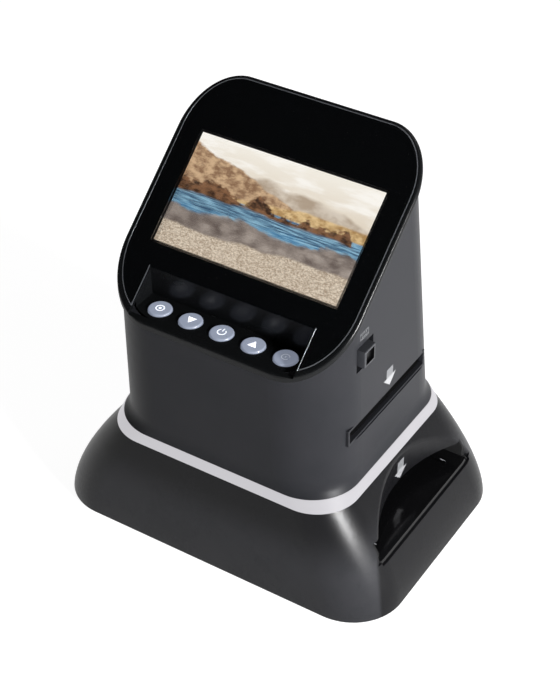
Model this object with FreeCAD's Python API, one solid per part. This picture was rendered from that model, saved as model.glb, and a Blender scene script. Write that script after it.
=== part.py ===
import FreeCAD, Part
import math
import os
from FreeCAD import Placement, Rotation, Vector

# Desktop film negative scanner. Millimetres, +Z up, front towards -Y, origin at the
# middle of the footprint, on the surface that the rubber feet stand on.

# Display and sloping front panel
screen_width = 95.0
screen_height = 53.8
screen_centre_y = -9.0
screen_centre_z = 166.5
panel_tilt = 40.0
panel_side_border = 8.5
panel_front_y = -58.4
panel_back_y = 36.7
panel_corner = 28.0
panel_back_corner = 24.5
panel_rim = 2.2
panel_edge_round = 1.3
bezel_thickness = 2.0
sheet_thickness = 0.8
window_border = 1.2
lcd_side_border = 5.2
lcd_end_border = 6.7
lcd_thickness = 2.9
lcd_plate_thickness = 1.0
lcd_plate_border = 1.6
lcd_screw_radius = 2.3
lip_height = 4.0
lip_wall = 1.6

# Key notch in the lower part of the panel
notch_half_width = 43.2
notch_back_y = -38.6
notch_back_lean = 0.7
notch_floor_z = 125.8
tray_wall = 2.0
key_count = 5
key_pitch = 16.5
key_row_y = -46.3
key_radius = 5.5
key_proud = 0.9
key_edge_round = 0.7
key_flange_radius = 6.5
key_flange_thickness = 1.2
key_stem_radius = 2.0
key_stem_length = 1.4
key_travel = 0.6
key_gap = 0.3
switch_body_side = 6.0
switch_body_height = 2.6
switch_plunger_radius = 1.7
switch_plunger_height = 0.9
board_thickness = 1.6
key_board_margin = 3.0
key_board_half_depth = 6.1
post_radius = 1.8

# Flared base
base_flare_reach_x = 26.8
base_flare_reach_y = 9.4
base_corner = 26.5
base_top_corner = 21.8
base_top_back_corner = 17.7
base_top_z = 50.6
base_flare_power = 1.5
base_section_count = 8
foot_height = 0.8
shell_wall = 2.6
deck_hole_margin_x = 10.0
deck_hole_margin_y = 6.0
deck_hole_corner = 12.0

# Light ring
ring_height = 5.8
ring_draw_x = 1.9
ring_draw_y = 0.8
ring_ledge_x = 1.6
ring_ledge_y = 0.9
ring_top_corner = 25.0
ring_top_back_corner = 20.5
ring_breadth = 4.6
ring_inner_corner = 21.0

# Tower
tower_side_ledge = 0.3
tower_front_y = -55.5
tower_back_y = 52.9
tower_corner = 29.5
tower_back_corner = 23.4
tower_side_lean = 1.3
tower_front_lean = -2.0
tower_back_lean = 7.15
tower_foot_corner = 24.8
tower_foot_back_corner = 20.3
tower_foot_ledge = 0.25
tower_flare_height = 8.0
tower_flare_sections = 5
tower_flare_power = 2.2
tower_top_z = 216.0

# Upper film slot through the tower
upper_slot_half_length = 33.8
upper_slot_centre_y = -2.5
upper_slot_floor_z = 82.3
upper_slot_height = 6.5
slot_step_width = 1.2
slot_step_depth = 0.5
track_wall = 2.0
upper_track_end_gap = 0.3

# Lower film slot through the base, with its finger scoops
lower_slot_half_length = 42.0
lower_slot_centre_y = 1.2
lower_slot_floor_z = 24.2
lower_slot_height = 9.0
lower_track_end_gap = 6.0
scoop_radius = 72.0
scoop_step = 1.0
scoop_centre_y = 2.0
scoop_edge_round = 3.0
mouth_side = 1.2
mouth_inset = 0.15
sill_inset = 1.4
guide_rib_half_spacing = 34.0
guide_rib_width = 1.2
guide_rib_height = 1.6
guide_rib_reach = 9.0

# Light path between the two film gates and up to the lens
light_path_y = -0.8
gate_half_side = 30.0
tunnel_half_side = 34.0
tunnel_corner = 6.0
tunnel_wall = 1.6
backlight_half_width = 45.0
backlight_half_depth = 40.0
backlight_pan_wall = 1.0
light_guide_thickness = 3.0
diffuser_thickness = 1.1
led_strip_width = 3.0
hood_top_half_side = 13.0
hood_height = 34.0
hood_wall = 1.8
barrel_radius = 8.0
barrel_flange_radius = 10.5
barrel_flange_thickness = 2.0
barrel_length = 16.0
barrel_wall = 1.4
lens_thickness = 3.2
lens_bulge = 1.1
sensor_board_half_side = 14.0
sensor_chip_half_side = 4.0
sensor_chip_height = 1.2

# Base plate, feet and screws
plate_thickness = 2.5
plate_clearance = 0.25
foot_radius = 8.0
foot_recess = 1.0
foot_inset_x = 21.0
foot_inset_y = 16.0
base_screw_x = 38.0
base_screw_inset_y = 4.3
boss_radius = 3.4
screw_radius = 1.4
screw_head_radius = 3.0
screw_head_height = 1.5
screw_grip = 9.0
screw_clearance = 0.1
vent_count = 7
vent_length = 34.0
vent_width = 2.2
vent_pitch = 6.0
vent_row_x = 46.0
pan_post_x = 38.0
pan_post_y = 33.0
tower_screw_inset_x = 14.5
tower_screw_inset_y = 13.1
tower_boss_height = 24.0
boss_web_thickness = 1.6
boss_web_reach = 5.2

# Film format button on the right wall
button_centre_y = -24.5
button_centre_z = 125.2
recess_width = 14.0
recess_height = 13.0
recess_depth = 1.6
surround_gap = 0.15
surround_seat_gap = 0.6
surround_flange_border = 1.2
surround_flange_thickness = 1.2
button_width = 9.0
button_height = 8.8
button_proud = 2.6
button_gap = 0.3
button_dish_border = 1.1
button_dish_depth = 1.4
button_edge_round = 0.5
button_flange_border = 1.1
button_flange_thickness = 1.4
button_stem_radius = 1.6
button_stem_length = 3.0
button_travel = 2.0
latch_side = 8.4
latch_length = 8.0
latch_board_half_width = 5.6
latch_board_border = 3.0
latch_post_radius = 2.2
latch_post_spacing = 20.5

# Main board and its sockets at the back
main_board_y = 37.0
main_board_half_width = 36.0
main_board_low_z = 97.0
main_board_high_z = 131.0
board_post_radius = 2.4
board_post_x = 31.0
board_post_low_z = 100.5
board_post_high_z = 127.5
socket_z = 109.0
socket_wall = 0.5
socket_tongue = 0.7
socket_window_gap = 0.35
usb_x = -22.0
usb_width = 9.0
usb_height = 3.4
hdmi_x = -4.0
hdmi_width = 11.4
hdmi_height = 4.4
card_x = 19.0
card_width = 26.0
card_height = 4.0
chip_side = 14.0
chip_height = 1.4

overrun = 40.0
half = 0.5

# Places that follow from the sizes above
tilt = math.radians(panel_tilt)
lcd_width = screen_width + lcd_side_border + lcd_side_border
lcd_height = screen_height + lcd_end_border + lcd_end_border
panel_half_width = lcd_width * half + panel_side_border
tower_half_width = panel_half_width + tower_side_ledge
tower_half_depth = (tower_back_y - tower_front_y) * half
base_top_centre_y = (tower_back_y + tower_front_y) * half
ring_top_half_width = tower_half_width + ring_ledge_x
ring_top_half_depth = tower_half_depth + ring_ledge_y
base_top_half_width = ring_top_half_width + ring_draw_x
base_top_half_depth = ring_top_half_depth + ring_draw_y
base_half_width = base_top_half_width + base_flare_reach_x
base_half_depth = base_top_half_depth + base_flare_reach_y
scoop_half_width = base_top_half_width + scoop_step
lower_track_half_width = scoop_half_width - lower_track_end_gap
ring_top_z = base_top_z + ring_height
tower_foot_z = ring_top_z
plate_top_z = foot_height + plate_thickness
lower_track_bottom_z = lower_slot_floor_z - track_wall
lower_slot_top_z = lower_slot_floor_z + lower_slot_height
lower_track_top_z = lower_slot_top_z + track_wall
upper_track_bottom_z = upper_slot_floor_z - track_wall
upper_slot_top_z = upper_slot_floor_z + upper_slot_height
upper_track_top_z = upper_slot_top_z + track_wall
hood_top_z = upper_track_top_z + hood_height
tray_under_z = notch_floor_z - tray_wall
key_flange_top_z = tray_under_z - key_gap
key_stem_low_z = key_flange_top_z - key_flange_thickness - key_stem_length
key_switch_top_z = key_stem_low_z - key_travel - key_gap
key_board_top_z = key_switch_top_z - switch_plunger_height - switch_body_height
key_places = [(i - (key_count - 1) * half) * key_pitch for i in range(key_count)]
panel_frame = Placement(Vector(0, screen_centre_y, screen_centre_z),
                        Rotation(Vector(1, 0, 0), panel_tilt))


def box(x0, x1, y0, y1, z0, z1):
    """Block between two corners."""
    return Part.makeBox(x1 - x0, y1 - y0, z1 - z0, Vector(x0, y0, z0))


def rod(radius, start, end):
    """Round bar from one point to another."""
    return Part.makeCylinder(radius, (end - start).Length, start, end - start)


def outline(half_x, low_y, high_y, radius, z, back_radius=None):
    """Rounded rectangle at height z; its back corners may have a radius of their own."""
    back = back_radius or radius
    corners = [(half_x - back, high_y - back, back, 0.0),
               (back - half_x, high_y - back, back, 90.0),
               (radius - half_x, low_y + radius, radius, 180.0),
               (half_x - radius, low_y + radius, radius, 270.0)]
    arcs = []
    for x, y, corner, first in corners:
        circle = Part.Circle(Vector(x, y, z), Vector(0, 0, 1), corner)
        arcs.append(Part.ArcOfCircle(circle, math.radians(first), math.radians(first + 90.0)))
    edges = []
    for index, arc in enumerate(arcs):
        following = arcs[(index + 1) % len(arcs)]
        edges.append(arc.toShape())
        edges.append(Part.makeLine(arc.EndPoint, following.StartPoint))
    return Part.Wire(edges)


def centred_outline(half_x, half_y, radius, centre_y, z, back_radius=None):
    return outline(half_x, centre_y - half_y, centre_y + half_y, radius, z, back_radius)


def prism(wire, height):
    return Part.Face(wire).extrude(Vector(0, 0, height))


def at_y(shape, y):
    """Carries a shape drawn about the origin along Y."""
    shape.translate(Vector(0, y, 0))
    return shape


def on_path(shape):
    """Carries a shape drawn about the origin to the light path."""
    return at_y(shape, light_path_y)


def on_panel(shape):
    """Carries a shape drawn flat, with the outer face at z = 0, to the sloping panel."""
    shape.Placement = panel_frame.multiply(shape.Placement)
    return shape


def panel_slab(low, high):
    """Everything between two depths below (or above) the panel's outer face."""
    reach = base_half_width + overrun
    return on_panel(box(-reach, reach, -reach - reach, reach + reach, low, high))


def face_z(y):
    """Height of the panel's outer face above a place y."""
    return screen_centre_z + (y - screen_centre_y) * math.tan(tilt)


def join(shapes):
    whole = shapes[0]
    for shape in shapes[1:]:
        whole = whole.fuse(shape)
    return whole.removeSplitter()


def export(node, shape):
    solids = shape.Solids
    shape = solids[0] if len(solids) == 1 else Part.makeCompound(solids)
    shape.exportStep("parts/" + node + ".step")
    print(node, len(solids), "solid(s)", round(shape.Volume), "mm3", shape.isValid())


# Base

def flare(z):
    """Share of the way from the base's top outline to its foot outline at height z."""
    drop = (base_top_z - z) / base_top_z
    return 1 - (1 - drop) ** base_flare_power


def base_outline(z, inset):
    """Section of the base at height z, drawn in by inset."""
    share = flare(z)
    half_x = base_top_half_width + (base_half_width - base_top_half_width) * share
    half_y = base_top_half_depth + (base_half_depth - base_top_half_depth) * share
    radius = base_top_corner + (base_corner - base_top_corner) * share
    back_radius = base_top_back_corner + (base_corner - base_top_back_corner) * share
    centre_y = base_top_centre_y * (1 - share)
    return centred_outline(half_x - inset, half_y - inset, radius - inset, centre_y, z,
                           back_radius - inset)


def base_form(inset, low_z, high_z):
    """Flared form of the base, with a finger scoop in each side above the lower slot."""
    step = (high_z - low_z) / (base_section_count - 1)
    wires = [base_outline(low_z + index * step, inset) for index in range(base_section_count)]
    form = Part.makeLoft(wires, True, False)
    for side in (-1, 1):
        centre = Vector(side * (scoop_half_width + scoop_radius), scoop_centre_y,
                        lower_slot_floor_z)
        form = form.cut(Part.makeCylinder(scoop_radius + inset, base_top_z + overrun, centre))
    return form


def scoop_edges(form):
    """Upper edges of the scoops, where their upright walls leave the flank."""
    edges = []
    for edge in form.Edges:
        mid = edge.valueAt((edge.FirstParameter + edge.LastParameter) * half)
        from_axis = math.hypot(scoop_half_width + scoop_radius - abs(mid.x),
                               mid.y - scoop_centre_y)
        on_wall = abs(from_axis - scoop_radius) < screw_clearance
        if on_wall and lower_slot_floor_z + screw_clearance < mid.z < base_top_z:
            edges.append(edge)
    return edges


def base_screw_places():
    reach_y = base_top_half_depth - base_screw_inset_y
    return [(x, base_top_centre_y + y) for x in (-base_screw_x, base_screw_x)
            for y in (-reach_y, reach_y)]


def tower_screw_places():
    reach_x = tower_half_width - tower_screw_inset_x
    reach_y = tower_half_depth - tower_screw_inset_y
    return [(x, base_top_centre_y + y) for x in (-reach_x, reach_x)
            for y in (-reach_y, reach_y)]


def slot_window():
    """Window that the lower slot and the lining of its mouths take out of the base."""
    half_y = lower_slot_half_length + mouth_side
    return at_y(box(-base_half_width - overrun, base_half_width + overrun, -half_y, half_y,
                    lower_slot_floor_z - mouth_side, lower_slot_top_z), lower_slot_centre_y)


def make_base_skirt():
    """Flared lower housing with a deck that carries the ring and the tower."""
    deck_under_z = base_top_z - shell_wall
    cavity = base_form(shell_wall, foot_height, deck_under_z)
    deck_hole = prism(centred_outline(tunnel_half_side + deck_hole_margin_x,
                                      tunnel_half_side + deck_hole_margin_y,
                                      deck_hole_corner, base_top_centre_y, deck_under_z),
                      shell_wall)
    skirt = base_form(0, foot_height, base_top_z)
    skirt = skirt.makeFillet(scoop_edge_round, scoop_edges(skirt))
    skirt = skirt.cut(cavity).cut(deck_hole).cut(slot_window())
    bosses = [rod(boss_radius, Vector(x, y, plate_top_z), Vector(x, y, deck_under_z))
              for x, y in base_screw_places()]
    skirt = join([skirt] + bosses)
    for x, y in base_screw_places():
        skirt = skirt.cut(rod(screw_radius + screw_clearance, Vector(x, y, plate_top_z),
                              Vector(x, y, plate_top_z + screw_grip + screw_grip * half)))
    for x, y in tower_screw_places():
        skirt = skirt.cut(rod(screw_radius + screw_clearance, Vector(x, y, deck_under_z),
                              Vector(x, y, base_top_z)))
    return skirt


def foot_places():
    return [(x, y) for x in (-base_half_width + foot_inset_x, base_half_width - foot_inset_x)
            for y in (-base_half_depth + foot_inset_y, base_half_depth - foot_inset_y)]


def make_base_plate():
    """Closing plate with foot recesses, screw holes, air slots and posts for the light pan."""
    inset = shell_wall + plate_clearance
    plate = prism(base_outline(plate_top_z, inset), -plate_thickness)
    posts = [rod(post_radius, Vector(x, y, plate_top_z), Vector(x, y, pan_bottom_z()))
             for x in (-pan_post_x, pan_post_x)
             for y in (light_path_y - pan_post_y, light_path_y + pan_post_y)]
    plate = join([plate] + posts)
    for x, y in foot_places():
        plate = plate.cut(rod(foot_radius + plate_clearance, Vector(x, y, foot_height),
                              Vector(x, y, foot_height + foot_recess)))
    for x, y in base_screw_places():
        plate = plate.cut(rod(screw_radius + screw_clearance, Vector(x, y, foot_height),
                              Vector(x, y, plate_top_z)))
        plate = plate.cut(rod(screw_head_radius + plate_clearance, Vector(x, y, foot_height),
                              Vector(x, y, foot_height + screw_head_height)))
    for side in (-1, 1):
        for index in range(vent_count):
            x = side * vent_row_x + (index - (vent_count - 1) * half) * vent_pitch
            plate = plate.cut(box(x - vent_width * half, x + vent_width * half,
                                  -vent_length * half, vent_length * half,
                                  foot_height, plate_top_z))
    return plate


def make_feet():
    return Part.makeCompound([rod(foot_radius, Vector(x, y, 0),
                                  Vector(x, y, foot_height + foot_recess))
                              for x, y in foot_places()])


def screw(x, y, head_z, up):
    """Pan head screw standing upwards, its head's upper face at head_z."""
    seat = Vector(x, y, head_z)
    head = rod(screw_head_radius, Vector(x, y, head_z - screw_head_height), seat)
    return head.fuse(rod(screw_radius, seat, Vector(x, y, head_z + up)))


def make_base_screws():
    seat_z = foot_height + screw_head_height
    grip = plate_top_z - seat_z + screw_grip
    return Part.makeCompound([screw(x, y, seat_z, grip) for x, y in base_screw_places()])


def make_tower_screws():
    seat_z = base_top_z - shell_wall
    grip = shell_wall + screw_grip
    return Part.makeCompound([screw(x, y, seat_z, grip) for x, y in tower_screw_places()])


# Light ring and tower

def make_light_ring():
    low = centred_outline(base_top_half_width, base_top_half_depth, base_top_corner,
                          base_top_centre_y, base_top_z, base_top_back_corner)
    high = centred_outline(ring_top_half_width, ring_top_half_depth, ring_top_corner,
                           base_top_centre_y, ring_top_z, ring_top_back_corner)
    hole = prism(centred_outline(ring_top_half_width - ring_breadth,
                                 ring_top_half_depth - ring_breadth, ring_inner_corner,
                                 base_top_centre_y, base_top_z), ring_height)
    return Part.makeLoft([low, high], True, True).cut(hole)


def tower_half_width_at(z):
    return tower_half_width - (z - tower_foot_z) * math.tan(math.radians(tower_side_lean))


def tower_front_at(z):
    return tower_front_y + (z - tower_foot_z) * math.tan(math.radians(tower_front_lean))


def tower_back_at(z):
    return tower_back_y - (z - tower_foot_z) * math.tan(math.radians(tower_back_lean))


def tower_outline(z, inset):
    """Section of the tower at height z, drawn in by inset."""
    return outline(tower_half_width_at(z) - inset, tower_front_at(z) + inset,
                   tower_back_at(z) - inset, tower_corner - inset, z, tower_back_corner - inset)


def flared_outline(rise):
    """Section of the tower's foot, which nears the ring's outline as rise drops to 0."""
    z = tower_foot_z + rise * tower_flare_height
    share = (1 - rise) ** tower_flare_power
    reach_x = (ring_ledge_x - tower_foot_ledge) * share
    reach_y = (ring_ledge_y - tower_foot_ledge) * share
    corner = tower_corner + (tower_foot_corner - tower_corner) * share
    back_corner = tower_back_corner + (tower_foot_back_corner - tower_back_corner) * share
    return outline(tower_half_width_at(z) + reach_x, tower_front_at(z) - reach_y,
                   tower_back_at(z) + reach_y, corner, z, back_corner)


def tower_form():
    """Tower that leans in as it rises, with a small hollow flare at its foot."""
    wires = [flared_outline(index / (tower_flare_sections - 1))
             for index in range(tower_flare_sections)]
    foot = Part.makeLoft(wires, True, False)
    shaft_z = tower_foot_z + tower_flare_height
    shaft = Part.makeLoft([tower_outline(shaft_z, 0), tower_outline(tower_top_z, 0)], True, True)
    return foot.fuse(shaft)


def tower_room(inset):
    """Space inside the tower's walls."""
    return Part.makeLoft([tower_outline(tower_foot_z, inset), tower_outline(tower_top_z, inset)],
                         True, True)


def tower_bosses():
    """Bosses for the screws from the base, each tied to its corner of the wall by a web."""
    bosses = []
    for x, y in tower_screw_places():
        top_z = base_top_z + tower_boss_height
        boss = rod(boss_radius, Vector(x, y, base_top_z), Vector(x, y, top_z))
        web = box(0, boss_radius + boss_web_reach - boss_web_thickness,
                  -boss_web_thickness * half, boss_web_thickness * half,
                  tower_foot_z + boss_web_reach, top_z)
        web.rotate(Vector(0, 0, 0), Vector(0, 0, 1),
                   math.degrees(math.atan2(y - base_top_centre_y, x)))
        web.translate(Vector(x, y, 0))
        web = web.common(tower_room(shell_wall * half))
        hole = rod(screw_radius + screw_clearance, Vector(x, y, base_top_z),
                   Vector(x, y, top_z - boss_radius))
        bosses.append(boss.fuse(web).cut(hole))
    return bosses


def slot_frame():
    """Block across the tower; its two ends are the flat frames round the upper slot."""
    half_y = upper_slot_half_length + slot_step_width
    wires = []
    for z in (upper_slot_floor_z - slot_step_width, upper_slot_top_z + slot_step_width):
        half_x = tower_half_width_at(z) - slot_step_depth
        corners = [Vector(x * half_x, upper_slot_centre_y + y * half_y, z)
                   for x, y in ((-1, -1), (1, -1), (1, 1), (-1, 1))]
        wires.append(Part.makePolygon(corners + corners[:1]))
    return Part.makeLoft(wires, True, True)


def slot_steps():
    """What the flat walls lose in front of the frames round the upper slot."""
    half_y = upper_slot_half_length + slot_step_width
    border = box(-base_half_width, base_half_width, -half_y, half_y,
                 upper_slot_floor_z - slot_step_width, upper_slot_top_z + slot_step_width)
    return at_y(border, upper_slot_centre_y).cut(slot_frame())


def latch_post_places():
    return [button_centre_z - latch_post_spacing * half, button_centre_z + latch_post_spacing * half]


def board_post_places():
    return [(x, z) for x in (-board_post_x, board_post_x)
            for z in (board_post_low_z, board_post_high_z)]


def make_tower_shell():
    """Upper housing: film slots in both sides, button window, socket windows at the back."""
    shell = tower_form().fuse(slot_frame()).cut(tower_room(shell_wall))
    posts = tower_bosses()
    inner_x = tower_half_width_at(button_centre_z) - shell_wall * half
    for z in latch_post_places():
        posts.append(rod(latch_post_radius, Vector(latch_board_x(), button_centre_y, z),
                         Vector(inner_x, button_centre_y, z)))
    for x, z in board_post_places():
        posts.append(rod(board_post_radius, Vector(x, main_board_y + board_thickness, z),
                         Vector(x, tower_back_at(z) - shell_wall * half, z)))
    shell = join([shell] + posts)
    shell = shell.cut(panel_slab(-bezel_thickness, tower_top_z))
    shell = shell.cut(at_y(box(-base_half_width, base_half_width, -upper_slot_half_length,
                               upper_slot_half_length, upper_slot_floor_z, upper_slot_top_z),
                           upper_slot_centre_y))
    shell = shell.cut(slot_steps())
    shell = shell.cut(button_block(recess_width * half, recess_height * half,
                                   surround_flange_x(), tower_half_width + overrun))
    for socket_x, width, height in socket_sizes():
        shell = shell.cut(socket_block(socket_x, width, height, socket_window_gap, overrun))
    return shell


# Film tracks and the light path

def film_track(half_length, half_slot, centre_y, floor_z, roof_z):
    """Flat channel for a film holder, with a square gate in its floor and roof."""
    half_y = half_slot + track_wall
    bottom_z = floor_z - track_wall
    top_z = roof_z + track_wall
    track = at_y(box(-half_length, half_length, -half_y, half_y, bottom_z, top_z), centre_y)
    channel = at_y(box(-half_length, half_length, -half_slot, half_slot, floor_z, roof_z),
                   centre_y)
    gate = on_path(box(-gate_half_side, gate_half_side, -gate_half_side, gate_half_side,
                       bottom_z, top_z))
    return track.cut(channel).cut(gate)


def make_lower_track():
    return film_track(lower_track_half_width, lower_slot_half_length, lower_slot_centre_y,
                      lower_slot_floor_z, lower_slot_top_z)


def make_upper_track():
    """Track of the upper slot, cut to the inside of the tower's walls."""
    track = film_track(tower_half_width, upper_slot_half_length, upper_slot_centre_y,
                       upper_slot_floor_z, upper_slot_top_z)
    return track.common(tower_room(shell_wall + upper_track_end_gap))


def make_slot_mouth(side):
    """Glossy shelf inside the wall, with cheeks and a sill that pass into it, and guide ribs."""
    half_y = lower_slot_half_length + mouth_side
    inner_x, outer_x = sorted((side * lower_track_half_width, side * (base_half_width + overrun)))
    shelves = [box(inner_x, outer_x, -half_y, half_y, low, low + track_wall)
               for low in (lower_track_bottom_z, lower_slot_top_z)]
    cheeks = [box(inner_x, outer_x, low, low + mouth_side, lower_slot_floor_z, lower_slot_top_z)
              for low in (-half_y, lower_slot_half_length)]
    sill = box(inner_x, outer_x, -half_y, half_y, lower_slot_floor_z - mouth_side,
               lower_slot_floor_z)
    room = base_form(shell_wall + mouth_inset, foot_height, base_top_z)
    flush = base_form(mouth_inset, foot_height, base_top_z)
    behind_lip = base_form(sill_inset, foot_height, base_top_z)
    rib_end = side * (scoop_half_width + guide_rib_reach)
    rib_from, rib_to = sorted((rib_end, side * lower_track_half_width))
    ribs = [box(rib_from, rib_to, y - guide_rib_width * half, y + guide_rib_width * half,
                lower_slot_floor_z, lower_slot_floor_z + guide_rib_height)
            for y in (-guide_rib_half_spacing, guide_rib_half_spacing)]
    return join([at_y(shape, lower_slot_centre_y).common(room) for shape in shelves]
                + [at_y(shape, lower_slot_centre_y).common(flush) for shape in cheeks]
                + [at_y(sill, lower_slot_centre_y).common(behind_lip)] + ribs)


def pan_bottom_z():
    return lower_track_bottom_z - diffuser_thickness - light_guide_thickness - backlight_pan_wall


def make_backlight_pan():
    """Shallow metal pan that holds the light guide under the lower film gate."""
    bottom_z = pan_bottom_z()
    pan = box(-backlight_half_width, backlight_half_width, -backlight_half_depth,
              backlight_half_depth, bottom_z, lower_track_bottom_z)
    room_x = backlight_half_width - backlight_pan_wall
    room_y = backlight_half_depth - backlight_pan_wall
    return pan.cut(box(-room_x, room_x, -room_y, room_y, bottom_z + backlight_pan_wall,
                       lower_track_bottom_z))


def pan_layer(low_z, high_z, start_share):
    """Sheet that fills the pan between two heights, from the LED strip or the pan's wall."""
    room_x = backlight_half_width - backlight_pan_wall - plate_clearance
    room_y = backlight_half_depth - backlight_pan_wall - plate_clearance
    return box(-room_x + start_share * led_strip_width, room_x, -room_y, room_y, low_z, high_z)


def make_light_guide():
    low_z = pan_bottom_z() + backlight_pan_wall
    return pan_layer(low_z, low_z + light_guide_thickness, 1)


def make_diffuser():
    return pan_layer(lower_track_bottom_z - diffuser_thickness, lower_track_bottom_z, 0)


def make_led_strip():
    """Narrow board with a row of LEDs against the edge of the light guide."""
    room_x = backlight_half_width - backlight_pan_wall - plate_clearance
    room_y = backlight_half_depth - backlight_pan_wall - plate_clearance
    low_z = pan_bottom_z() + backlight_pan_wall
    return box(-room_x, -room_x + led_strip_width - plate_clearance, -room_y, room_y,
               low_z, low_z + light_guide_thickness)


def make_light_tunnel():
    """Square black tube between the two film gates."""
    height = upper_track_bottom_z - lower_track_top_z
    outer = prism(centred_outline(tunnel_half_side, tunnel_half_side, tunnel_corner, 0,
                                  lower_track_top_z), height)
    inner_side = tunnel_half_side - tunnel_wall
    return outer.cut(prism(centred_outline(inner_side, inner_side, tunnel_corner - tunnel_wall,
                                           0, lower_track_top_z), height))


def square(side, z):
    """Square wire about the Z axis, side being half its width."""
    corners = [Vector(x * side, y * side, z) for x, y in ((-1, -1), (1, -1), (1, 1), (-1, 1))]
    return Part.makePolygon(corners + corners[:1])


def hood_form(inset):
    """Four-sided pyramid stump from the upper gate to the hood's roof."""
    return Part.makeLoft([square(tunnel_half_side - inset, upper_track_top_z),
                          square(hood_top_half_side - inset, hood_top_z)], True, True)


def make_camera_hood():
    """Tapered hood over the upper gate, its roof bored for the lens barrel."""
    hood = hood_form(0)
    room = hood_form(hood_wall).common(
        box(-overrun, overrun, -overrun, overrun, upper_track_top_z, hood_top_z - hood_wall))
    hood = hood.cut(room)
    return hood.cut(rod(barrel_radius + screw_clearance, Vector(0, 0, upper_track_top_z),
                        Vector(0, 0, hood_top_z)))


def make_lens_barrel():
    """Barrel that hangs by its flange in the roof of the hood."""
    low_z = hood_top_z - barrel_length + barrel_flange_thickness
    top_z = hood_top_z + barrel_flange_thickness
    barrel = rod(barrel_radius, Vector(0, 0, low_z), Vector(0, 0, top_z))
    barrel = barrel.fuse(rod(barrel_flange_radius, Vector(0, 0, hood_top_z), Vector(0, 0, top_z)))
    barrel = barrel.cut(rod(barrel_radius - barrel_wall, Vector(0, 0, low_z),
                            Vector(0, 0, low_z + lens_thickness)))
    return barrel.cut(rod(barrel_radius - barrel_wall - barrel_wall,
                          Vector(0, 0, low_z + lens_thickness), Vector(0, 0, top_z)))


def make_lens():
    """Front element: a disc with a spherical lower face, turned about the light path."""
    low_z = hood_top_z - barrel_length + barrel_flange_thickness
    radius = barrel_radius - barrel_wall - screw_clearance
    rim = low_z + lens_bulge
    top = low_z + lens_thickness
    edges = [Part.Arc(Vector(0, 0, low_z),
                      Vector(radius * half, 0, low_z + lens_bulge * half * half),
                      Vector(radius, 0, rim)).toShape(),
             Part.makeLine(Vector(radius, 0, rim), Vector(radius, 0, top)),
             Part.makeLine(Vector(radius, 0, top), Vector(0, 0, top)),
             Part.makeLine(Vector(0, 0, top), Vector(0, 0, low_z))]
    return Part.Face(Part.Wire(edges)).revolve(Vector(0, 0, 0), Vector(0, 0, 1), 360.0)


def make_sensor_board():
    side = sensor_board_half_side
    low_z = hood_top_z + barrel_flange_thickness + sensor_chip_height
    board = box(-side, side, -side, side, low_z, low_z + board_thickness)
    legs = [rod(post_radius, Vector(x, y, hood_top_z), Vector(x, y, low_z))
            for x in (-hood_top_half_side + post_radius, hood_top_half_side - post_radius)
            for y in (-hood_top_half_side + post_radius, hood_top_half_side - post_radius)]
    chip = sensor_chip_half_side
    return join([board, box(-chip, chip, -chip, chip, low_z - sensor_chip_height, low_z)] + legs)


# Panel, display and keys

def panel_outline_prism(inset, low_z, height):
    wire = outline(panel_half_width - inset, panel_front_y + inset, panel_back_y - inset,
                   panel_corner - inset, low_z, panel_back_corner - inset)
    return prism(wire, height)


def notch_volume():
    """Wedge cut out of the panel for the keys: upright back wall and level floor."""
    top_z = face_z(notch_back_y) + overrun
    front_y = panel_front_y - overrun
    points = [Vector(-notch_half_width, notch_back_y, top_z),
              Vector(-notch_half_width, notch_back_y, face_z(notch_back_y)),
              Vector(-notch_half_width, notch_back_y + notch_back_lean, notch_floor_z),
              Vector(-notch_half_width, front_y, notch_floor_z),
              Vector(-notch_half_width, front_y, top_z)]
    side = Part.Face(Part.makePolygon(points + points[:1]))
    return side.extrude(Vector(notch_half_width + notch_half_width, 0, 0))


def lip_prism(inset):
    """Outline of the locating lip, which drops inside the tower's walls."""
    fit = shell_wall + plate_clearance + inset
    top_z = face_z(panel_back_y)
    wire = outline(tower_half_width_at(top_z) - fit, tower_front_at(key_board_top_z) + fit,
                   tower_back_at(top_z) - fit, tower_corner - fit, key_board_top_z)
    return prism(wire, face_z(panel_back_y) - key_board_top_z + overrun)


def key_tray():
    """Walls and floor of the notch on the inside of the panel."""
    tray = box(-notch_half_width - tray_wall, notch_half_width + tray_wall,
               panel_front_y, notch_back_y + notch_back_lean + tray_wall,
               tray_under_z, face_z(notch_back_y) + tray_wall)
    return tray.common(lip_prism(0))


def key_post_places():
    between = key_pitch * half
    offset_y = key_flange_radius - tray_wall * half
    return [(x, key_row_y + y) for x in (key_places[0] + between, key_places[-1] - between)
            for y in (-offset_y, offset_y)]


def lcd_screw_places():
    u = lcd_width * half - lcd_screw_radius
    v = lcd_height * half + lcd_screw_radius + key_gap
    return [(x, y) for x in (-u, u) for y in (-v, v)]


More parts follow.
